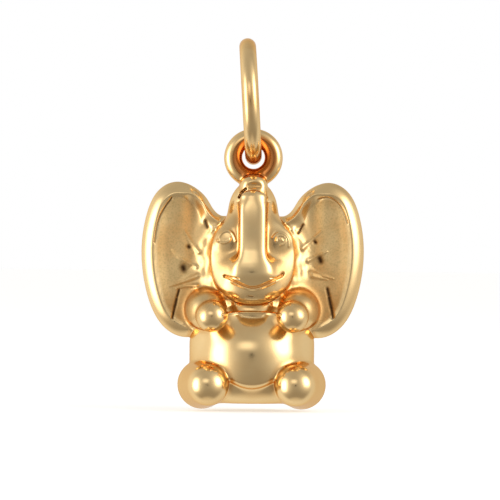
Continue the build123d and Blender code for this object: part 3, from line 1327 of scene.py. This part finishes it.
@dataclass
class Figure:
    """The elephant with its hanging loop: one cast and soldered gold piece."""

    low: Vector
    high: Vector
    pivot: Vector
    front_reach: float = 3.65
    hang_gap: float = 0.12
    margin: float = 0.6
    fillets: Fillets = Fillets()
    shade_painting: ShadePainting = ShadePainting()
    finish: PolishedGold = PolishedGold("figure_gold")
    mesher: Mesher = field(default_factory=Mesher)

    def __post_init__(self) -> None:
        """Places the figure's forms from the frame's box and the hinge."""
        middle = (self.low.x + self.high.x) / 2
        self.feet = np.array([middle, self.low.y + self.front_reach * MM, self.low.z]) / MM
        swing = np.array(self.pivot) / MM - self.feet
        self.barrel, self.limbs, self.head, self.trunk = Barrel(), Limbs(), Head(), Trunk()
        self.ears = Ears(span=(self.high.x - self.low.x) / MM)
        self.loop = HangingLoop((0.0, float(swing[1]), 0.0))
        radius = (self.loop.outer - self.loop.wire) / 2
        top = swing[2] + (self.loop.wire + BAIL_WIRE) / 2 + self.hang_gap
        self.loop.centre = (float(swing[0]), float(swing[1]), float(top - radius))
        self.strokes = self.face_strokes() + self.ear_strokes()

    @staticmethod
    def face_strokes() -> list[Stroke]:
        """The mouth, eyes, collar's hem, the groove under the collar, the chin's crease and the slit beside
        the trunk's end; the last three are painted dark, as painted shade under the collar and in the slit
        and as a painted reflection of the lens on the chin.

        Returns:
            The strokes.
        """
        smile = ((-1.09, 7.01), (-0.61, 6.79), (-0.03, 6.62), (0.54, 6.74), (1.18, 7.03))
        lip, lip_drop = ((-1.46, 7.19), *smile, (1.60, 7.32)), 0.11
        below = tuple((across, up - lip_drop) for across, up in smile)
        left_lid = ((-1.87, 9.05), (-1.72, 9.42), (-1.40, 9.61), (-1.10, 9.48), (-0.92, 9.07))
        left_pupil = ((-1.84, 9.10), (-1.62, 8.97), (-1.26, 9.06), (-1.18, 9.24))
        right_lid = ((1.08, 9.28), (1.33, 9.50), (1.66, 9.47), (1.91, 9.14), (1.94, 8.82))
        right_pupil = ((1.24, 9.10), (1.32, 9.33), (1.56, 9.38), (1.76, 9.18), (1.70, 8.96), (1.48, 8.86))
        hem = ((-1.55, 5.18), (-0.9, 5.25), (0.0, 5.27), (0.9, 5.25), (1.50, 5.18))
        slit = ((-0.74, 11.42), (-0.60, 11.66), (-0.40, 11.86))
        return [
            Stroke(Mark.GROOVE, lip, (0.060, 0.060), 0.055),
            Stroke(Mark.RIDGE, below, (0.060, 0.060), 0.040),
            Stroke(Mark.GROOVE, ((-1.50, 7.21), (-0.72, 7.07)), (0.080, 0.040), 0.04),
            Stroke(Mark.GROOVE, ((1.63, 7.38), (1.50, 7.18), (0.95, 7.13)), (0.080, 0.040), 0.04),
            Stroke(Mark.RIDGE, left_lid, (0.065, 0.065), 0.05),
            Stroke(Mark.RIDGE, left_pupil, (0.065, 0.050), 0.05),
            Stroke(Mark.RIDGE, right_lid, (0.065, 0.065), 0.05),
            Stroke(Mark.RIDGE, right_pupil, (0.055, 0.045), 0.045),
            Stroke(Mark.RIDGE, ((1.50, 9.20), (1.57, 9.12)), (0.06, 0.06), 0.04),
            Stroke(Mark.RIDGE, hem, (0.06, 0.06), 0.05),
            # Painted shade: the groove under the collar is painted darker.
            Stroke(Mark.GROOVE, ((-0.45, 5.03), (0.55, 5.00)), (0.12, 0.12), 0.03, 0.22),
            # Painted reflection: the small groove on the chin is painted dark where the lens is mirrored.
            Stroke(Mark.GROOVE, ((-0.22, 6.15), (0.02, 6.11)), (0.045, 0.05), 0.03, 0.7),
            # Painted shade: the slit beside the trunk's end is painted black.
            Stroke(Mark.GROOVE, slit, (0.05, 0.05), 0.22, 1.0),
        ]

    @staticmethod
    def ear_strokes() -> list[Stroke]:
        """The folds that fan from the ears' roots, small dents in the dishes painted black as painted
        reflections of the lens, and lines along the rims' inner walls painted dark as painted shade.

        Returns:
            The strokes.
        """
        folds = [
            ((-3.68, 9.64), (-3.45, 9.25), (-2.90, 8.46)),
            ((-4.31, 8.55), (-3.90, 8.15), (-3.02, 7.67)),
            ((-4.44, 6.63), (-3.80, 6.84), (-2.96, 7.20)),
            ((-4.05, 6.51), (-3.60, 6.63), (-3.00, 6.68)),
            ((3.67, 9.62), (2.68, 8.71)),
            ((3.98, 8.54), (2.97, 8.06)),
            ((4.32, 7.10), (3.16, 7.42)),
            ((4.00, 7.04), (3.24, 7.23)),
        ]
        # Painted reflections: dark specks of the lens mirrored in the dishes, laid as small dents painted
        # black.
        marks = [
            (((-2.54, 10.12), (-2.44, 9.82)), 0.085),
            (((-3.43, 8.76), (-3.40, 8.72)), 0.105),
            (((-3.72, 7.64), (-3.69, 7.54)), 0.18),
            (((-3.93, 6.41), (-4.02, 6.08)), 0.075),
            (((-4.05, 5.95), (-4.15, 5.50)), 0.09),
            (((-4.17, 5.40), (-4.26, 4.92)), 0.07),
            (((2.44, 9.52), (2.70, 9.98)), 0.055),
            (((3.33, 9.07), (3.37, 9.03)), 0.09),
            (((3.60, 8.17), (3.66, 8.02)), 0.15),
            (((4.02, 6.54), (4.10, 6.20)), 0.10),
            (((4.12, 6.08), (4.24, 5.50)), 0.11),
            (((4.26, 5.40), (4.32, 5.02)), 0.09),
        ]
        # Painted shade: dark lines along the rims' inner walls, where the light does not reach.
        rim_shade_lines = [
            (((-4.35, 11.36), (-4.76, 10.79), (-5.10, 10.02), (-5.27, 8.97)), 0.95),
            (((3.52, 11.33), (3.98, 11.44), (4.44, 11.22), (4.84, 10.72), (5.08, 10.08)), 0.50),
        ]
        ridges = [Stroke(Mark.RIDGE, path, (0.05, 0.13), 0.09) for path in folds]
        painted_specks = [Stroke(Mark.GROOVE, path, (width, width), 0.06, 1.0) for path, width in marks]
        lines = [Stroke(Mark.GROOVE, path, (0.055, 0.035), 0.05, dark) for path, dark in rim_shade_lines]
        return ridges + painted_specks + lines

    def distance(self, places: Array) -> Array:
        """Distances of places to the whole figure.

        Args:
            places: Points, one a row.

        Returns:
            The distances.
        """
        fillets = self.fillets
        rising = smooth_step((places[:, 2] - fillets.trunk_rise[0]) / fillets.trunk_rise[1])
        head = self.head.distance(places)
        for part, reach in (
            (self.trunk.distance(places), fillets.trunk[0] - fillets.trunk[1] * rising),
            (self.head.eyes(places), fillets.eyes),
            (self.trunk.curled_tip(places), fillets.tip),
        ):
            head = joined(head, part, reach)
        sides = joined(self.ears.distance(places), self.limbs.arms(places), fillets.arms)
        form = self.barrel.distance(places)
        for part, reach in (
            (self.limbs.legs(places), fillets.hips),
            (self.head.neck(places), fillets.neck),
            (sides, fillets.ears),
            (head, fillets.head),
            (self.loop.distance(places), fillets.loop),
        ):
            form = joined(form, part, reach)
        for stroke in self.strokes:
            form = stroke.press(places, form)
        return form

    def painted_shade(self, points: Array, normals: Array) -> Array:
        """How much painted shade each point gets: from how closed in the surface is, in the trunk's hollow,
        low in the ears' dishes and on the loop's inner side.

        Args:
            points: Points on the surface, one a row.
            normals: Its unit normals there.

        Returns:
            For each point 0 in the open, 1 in a crease, and up to 2 inside the loop.
        """
        shade_painting = self.shade_painting
        # Painted shade in creases: probes along the normal find how closed in the surface is.
        total = np.zeros(len(points))
        for reach in shade_painting.probes:
            total += np.clip(1 - self.distance(points + reach * normals) / reach, 0, 1)
        closed = total / len(shade_painting.probes) * shade_painting.gain
        # Painted shade in the trunk's hollow.
        hollow = ellipsoid(points, self.trunk.hollow_centre, self.trunk.hollow)
        hood = shade_painting.hood[0] * smooth_step(1.0 - hollow / shade_painting.hood[1])
        # Painted shade low in the ears' dishes, redder on the right than on the left.
        red = shade_painting.dish_red[0] + shade_painting.dish_red[1] * np.sign(points[:, 0])
        dish = self.ears.grain(points) * shade_painting.lower_dish(points) * red
        # The loop's inner side, painted with shade, lifts the measure up to 2.
        return 2 - (1 - self.loop.inner(points)) * (2 - np.clip(closed + hood + dish, 0, 1))

    def darkness(self, points: Array) -> Array:
        """How dark each point is painted: painted shade in the slit, under the collar, along the rims' inner
        walls and low in the dishes, and painted reflections of the lens in the chin's crease and the dents in
        the dishes.

        Args:
            points: Points on the surface, one a row.

        Returns:
            The darkness, from 0 to 1.
        """
        # Painted shade darkens the lower dishes; the strokes then add their painted shade and painted
        # reflections.
        total = self.shade_painting.dish_painted_dark * self.ears.grain(points) * self.shade_painting.lower_dish(points)
        for stroke in self.strokes:
            if stroke.dark:
                near, strength = stroke.shape(points)
                total[near] = np.maximum(total[near], stroke.dark * strength**self.shade_painting.painted_dark_power)
        return np.clip(total, 0, 1)

    def build(self) -> Any:
        """Makes the figure's mesh and dresses it.

        Returns:
            The figure's object.
        """
        low = np.array(self.low) / MM - self.feet - self.margin
        high = np.array(self.high) / MM - self.feet + self.margin
        points, faces, normals = self.mesher.cover(self.distance, low, high)
        # The painted shade and the dark marks, which hold painted shade and painted reflections, go to the
        # material beside the real satin grain.
        features = {
            "painted_shade": self.painted_shade(points, normals),
            "grain": self.ears.grain(points),
            "dark": self.darkness(points),
        }
        placed = (points + self.feet) * MM
        return mesh_object("gold_elephant", placed, faces, self.finish.make(), normals, features)


@dataclass
class BailRing:
    """The closed bail ring of round wire, made with Geometry Nodes along its circle."""

    low: Vector
    high: Vector
    pivot: Vector
    wire: float = BAIL_WIRE
    finish: PolishedGold = PolishedGold("ring_gold", patina=0.55)
    turns: int = 160
    sides: int = 48

    def tree(self, material: Any) -> Any:
        """Builds the node group that bends a round wire into a ring.

        Args:
            material: The material that the ring wears.

        Returns:
            The node group.
        """
        group = bpy.data.node_groups.new("ring_of_wire", "GeometryNodeTree")
        group.interface.new_socket("Geometry", in_out="OUTPUT", socket_type="NodeSocketGeometry")
        for name in ("Ring radius", "Wire radius"):
            group.interface.new_socket(name, in_out="INPUT", socket_type="NodeSocketFloat")
        bench = Bench(group)
        given = bench.node("NodeGroupInput")
        circle, profile = (
            bench.node("GeometryNodeCurvePrimitiveCircle", None, {"Resolution": count, "Radius": radius})[0]
            for count, radius in ((self.turns, given["Ring radius"]), (self.sides, given["Wire radius"]))
        )
        wire = bench.node("GeometryNodeCurveToMesh", None, {"Curve": circle, "Profile Curve": profile})[0]
        smooth = bench.node("GeometryNodeSetShadeSmooth", None, {"Geometry": wire})[0]
        real = bench.node("GeometryNodeRealizeInstances", None, {"Geometry": smooth})[0]
        dressed = bench.node("GeometryNodeSetMaterial", None, {"Geometry": real, "Material": material})[0]
        bench.node("NodeGroupOutput", None, {"Geometry": dressed})
        return group

    def build(self) -> Any:
        """Makes the ring, leaning as the frame's ring does.

        Returns:
            The ring's object.
        """
        material = self.finish.make()
        group = self.tree(material)
        carrier = bpy.data.objects.new("bail_carrier", bpy.data.meshes.new("bail_carrier"))
        bpy.context.scene.collection.objects.link(carrier)
        modifier = carrier.modifiers.new("ring", "NODES")
        modifier.node_group = group
        radius = (self.high.y - self.low.y - self.wire * MM) / 2
        sizes = {"Ring radius": radius, "Wire radius": self.wire * MM / 2}
        for item in group.interface.items_tree:
            if item.in_out == "INPUT":
                modifier[item.identifier] = sizes[item.name]
        graph = bpy.context.evaluated_depsgraph_get()
        mesh = bpy.data.meshes.new_from_object(carrier.evaluated_get(graph))
        bpy.data.objects.remove(carrier)
        centre = (self.low + self.high) / 2
        up = centre - self.pivot
        turn = math.pi / 2 - math.atan2(-up.x, up.z)
        mesh.transform(Matrix.Translation(centre) @ Matrix.Rotation(turn, 4, "Y"))
        mesh.name = "bail_wire_ring"
        ring = bpy.data.objects.new("bail_wire_ring", mesh)
        bpy.context.scene.collection.objects.link(ring)
        return ring


# The studio


@dataclass(frozen=True)
class Softbox:
    """A lamp panel seen from the charm: its direction and spread in degrees, and its brightness."""

    name: str
    azimuth: float
    elevation: float
    spread: Pair
    brightness: float
    colour: Triple = (1.0, 0.985, 0.96)
    distance: float = 0.30
    softness: float = 0.45

    def direction(self) -> Vector:
        """The unit direction from the charm to the panel.

        Returns:
            The direction.
        """
        azimuth, elevation = math.radians(self.azimuth), math.radians(self.elevation)
        level = math.cos(elevation)
        return Vector((math.sin(azimuth) * level, -math.cos(azimuth) * level, math.sin(elevation)))

    def build(self, target: Vector) -> None:
        """Hangs the panel, facing the target.

        Args:
            target: The place that it faces.
        """
        direction = self.direction()
        light = bpy.data.lights.new(self.name, "AREA")
        light.shape = "RECTANGLE"
        light.size = 2 * self.distance * math.tan(math.radians(self.spread[0] / 2))
        light.size_y = 2 * self.distance * math.tan(math.radians(self.spread[1] / 2))
        light.energy = self.brightness * math.pi * light.size * light.size_y
        light.color = self.colour
        light.use_nodes = True
        bench = Bench(light.node_tree)
        place = bench.node("ShaderNodeNewGeometry")["Parametric"]
        shares = [Value(bench, socket) for socket in bench.node("ShaderNodeSeparateXYZ", None, (place,))[:2]]
        soft = self.softness
        across, up = (share.eased(0.0, soft) * (1 - share).eased(0.0, soft) for share in shares)
        glow = bench.node("ShaderNodeEmission", None, {"Strength": across * up})[0]
        bench.node("ShaderNodeOutputLight", None, {"Surface": glow})
        panel = bpy.data.objects.new(self.name, light)
        panel.location = target + direction * self.distance
        panel.rotation_euler = (-direction).to_track_quat("-Z", "Y").to_euler()
        panel.visible_camera = False
        bpy.context.scene.collection.objects.link(panel)


@dataclass(frozen=True)
class Surroundings:
    """What the gold mirrors beyond the lamps: a bright back, a dim front and a glow round the side lamps.

    Each pair says where a side sets in and where it is full, along the direction from the charm.
    """

    behind: Pair = (-0.25, 0.25)
    above: Pair = (0.20, 0.95)
    below: Pair = (0.05, 0.85)
    beneath: Pair = (0.86, 1.0)
    back: float = 0.84
    back_right: float = 0.10
    back_above: float = 0.34
    front: float = 0.40
    front_above: float = 0.08
    front_below: float = 0.06
    front_beneath: float = 0.35
    glow_focus: float = 6.0
    warmth: float = 0.5
    cool: Triple = (1.0, 0.99, 0.96)
    warm: Triple = (1.0, 0.88, 0.72)

    def build(self, lamps: Sequence[Softbox]) -> None:
        """Makes the world, which the camera itself sees as plain white.

        Args:
            lamps: The lamps that glow.
        """
        world = bpy.data.worlds.new("studio")
        bpy.context.scene.world = world
        world.use_nodes = True
        bench = Bench(world.node_tree)
        direction = bench.node("ShaderNodeTexCoord")["Generated"]
        parts = bench.node("ShaderNodeSeparateXYZ", None, (direction,))
        x, y, z = (Value(bench, socket) for socket in parts)
        behind, above = y.eased(*self.behind), z.eased(*self.above)
        below, beneath = (z * -1).eased(*self.below), (z * -1).eased(*self.beneath)
        back = self.back - x * self.back_right - above * self.back_above
        front = self.front + above * self.front_above - below * self.front_below
        front = front + beneath * self.front_beneath
        for lamp in lamps:
            towards = lamp.direction()
            along = x * towards.x + y * towards.y + z * towards.z
            front = front + along.over(0.0) ** self.glow_focus
        bright = behind * back + (1 - behind) * front
        tint = bench.mixed(below * (1 - behind) * self.warmth, (*self.cool, 1), (*self.warm, 1))
        seen = bench.value("ShaderNodeLightPath", None, (), "Is Camera Ray")
        shade = bench.node("ShaderNodeBackground", None, {"Color": tint, "Strength": bright})[0]
        white = bench.node("ShaderNodeBackground", None, {"Color": (1, 1, 1, 1), "Strength": 1.0})[0]
        mixed = bench.node("ShaderNodeMixShader", None, (seen, shade, white))[0]
        bench.node("ShaderNodeOutputWorld", None, {"Surface": mixed})


@dataclass
class Studio:
    """White sweep, soft lamps, and a long lens straight in front of the charm."""

    low: Vector
    high: Vector
    view_width: float = 26.785
    lens: float = 300.0
    sensor: float = 36.0
    roll: float = 0.484
    clips: Pair = (0.001, 10.0)
    middle_pixel: float = 252.68
    floor_pixel: float = 410.5
    image: float = 500.0
    front_radius: float = 0.017
    front_gap: float = 0.01
    front_sides: int = 48
    floor_half: float = 1.5
    floor_glow: float = 0.45
    white: Triple = (0.86, 0.86, 0.86)
    black: Triple = (0.01, 0.01, 0.01)
    surroundings: Surroundings = Surroundings()
    lamps: tuple[Softbox, ...] = (
        Softbox("left_softbox", -68, 0, (52, 74), 3.0),
        Softbox("right_softbox", 64, 17, (52, 58), 3.0),
        Softbox("top_patch", -10, 23, (48, 32), 0.95),
    )

    def camera(self) -> None:
        """Sets the camera at the photograph's angle, framing the charm as it does."""
        scale = self.view_width / self.image * MM
        lift = (self.floor_pixel - self.image / 2) * scale
        side = (self.image / 2 - self.middle_pixel) * scale
        distance = self.lens * self.view_width / self.sensor * MM
        data = bpy.data.cameras.new("long_lens")
        data.lens, data.sensor_width = self.lens, self.sensor
        data.clip_start, data.clip_end = self.clips
        camera = bpy.data.objects.new("long_lens", data)
        camera.location = ((self.low.x + self.high.x) / 2 + side, -distance, self.low.z + lift)
        camera.rotation_mode = "QUATERNION"
        level = Vector((0, 1, 0)).to_track_quat("-Z", "Z")
        roll = Matrix.Rotation(math.radians(self.roll), 3, "Z").to_quaternion()
        camera.rotation_quaternion = level @ roll
        bpy.context.scene.collection.objects.link(camera)
        bpy.context.scene.camera = camera
        self.lens_front(camera.location - Vector((0, self.front_gap, 0)))

    def lens_front(self, place: Vector) -> None:
        """Hangs the dark front of the lens, which the polished gold mirrors.

        Args:
            place: The middle of the disc.
        """
        turns = np.linspace(0, 2 * math.pi, self.front_sides, endpoint=False)
        circle = np.stack([np.cos(turns), np.zeros(len(turns)), np.sin(turns)], 1)
        fan = np.array([(0, index, index + 1) for index in range(1, len(turns) - 1)])
        black = plain_material("lens_black", self.black, 0.0)
        disc = mesh_object("lens_front", self.front_radius * circle + np.array(place), fan, black)
        disc.visible_camera = disc.visible_shadow = disc.visible_diffuse = False

    def floor(self) -> None:
        """Lays the pale floor under the feet."""
        square = np.array([(-1, -1, 0), (1, -1, 0), (1, 1, 0), (-1, 1, 0)]) * self.floor_half
        faces = np.array([(0, 1, 2), (0, 2, 3)])
        white = plain_material("floor_white", self.white, self.floor_glow)
        ground = mesh_object("floor", square + (0, 0, self.low.z), faces, white)
        ground.visible_glossy = False

    def build(self) -> None:
        """Sets up camera, floor, surroundings and lamps."""
        self.camera()
        self.floor()
        self.surroundings.build(self.lamps[:2])
        target = (self.low + self.high) / 2
        for lamp in self.lamps:
            lamp.build(target)
        view = bpy.context.scene.view_settings
        view.view_transform, view.look = "Standard", "None"


def main() -> None:
    """Builds the charm and its studio, and logs how many faces its two meshes have."""
    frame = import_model()
    hinge = Vector(frame["joints"][0]["pos_m"])
    figure_box, ring_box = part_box("charm_figure"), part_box("bail_ring")
    figure = Figure(*figure_box, hinge)
    elephant = figure.build()
    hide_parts("charm_figure")
    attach(elephant, "charm")
    LOG.info("gold_elephant: %d triangles", len(elephant.data.polygons))
    ring = BailRing(*ring_box, hinge).build()
    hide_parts("bail_ring")
    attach(ring, "bail")
    LOG.info("bail_wire_ring: %d faces", len(ring.data.polygons))
    Studio(*figure_box).build()


if __name__ == "__main__":
    logging.basicConfig(level=logging.INFO, stream=sys.stdout)
    main()
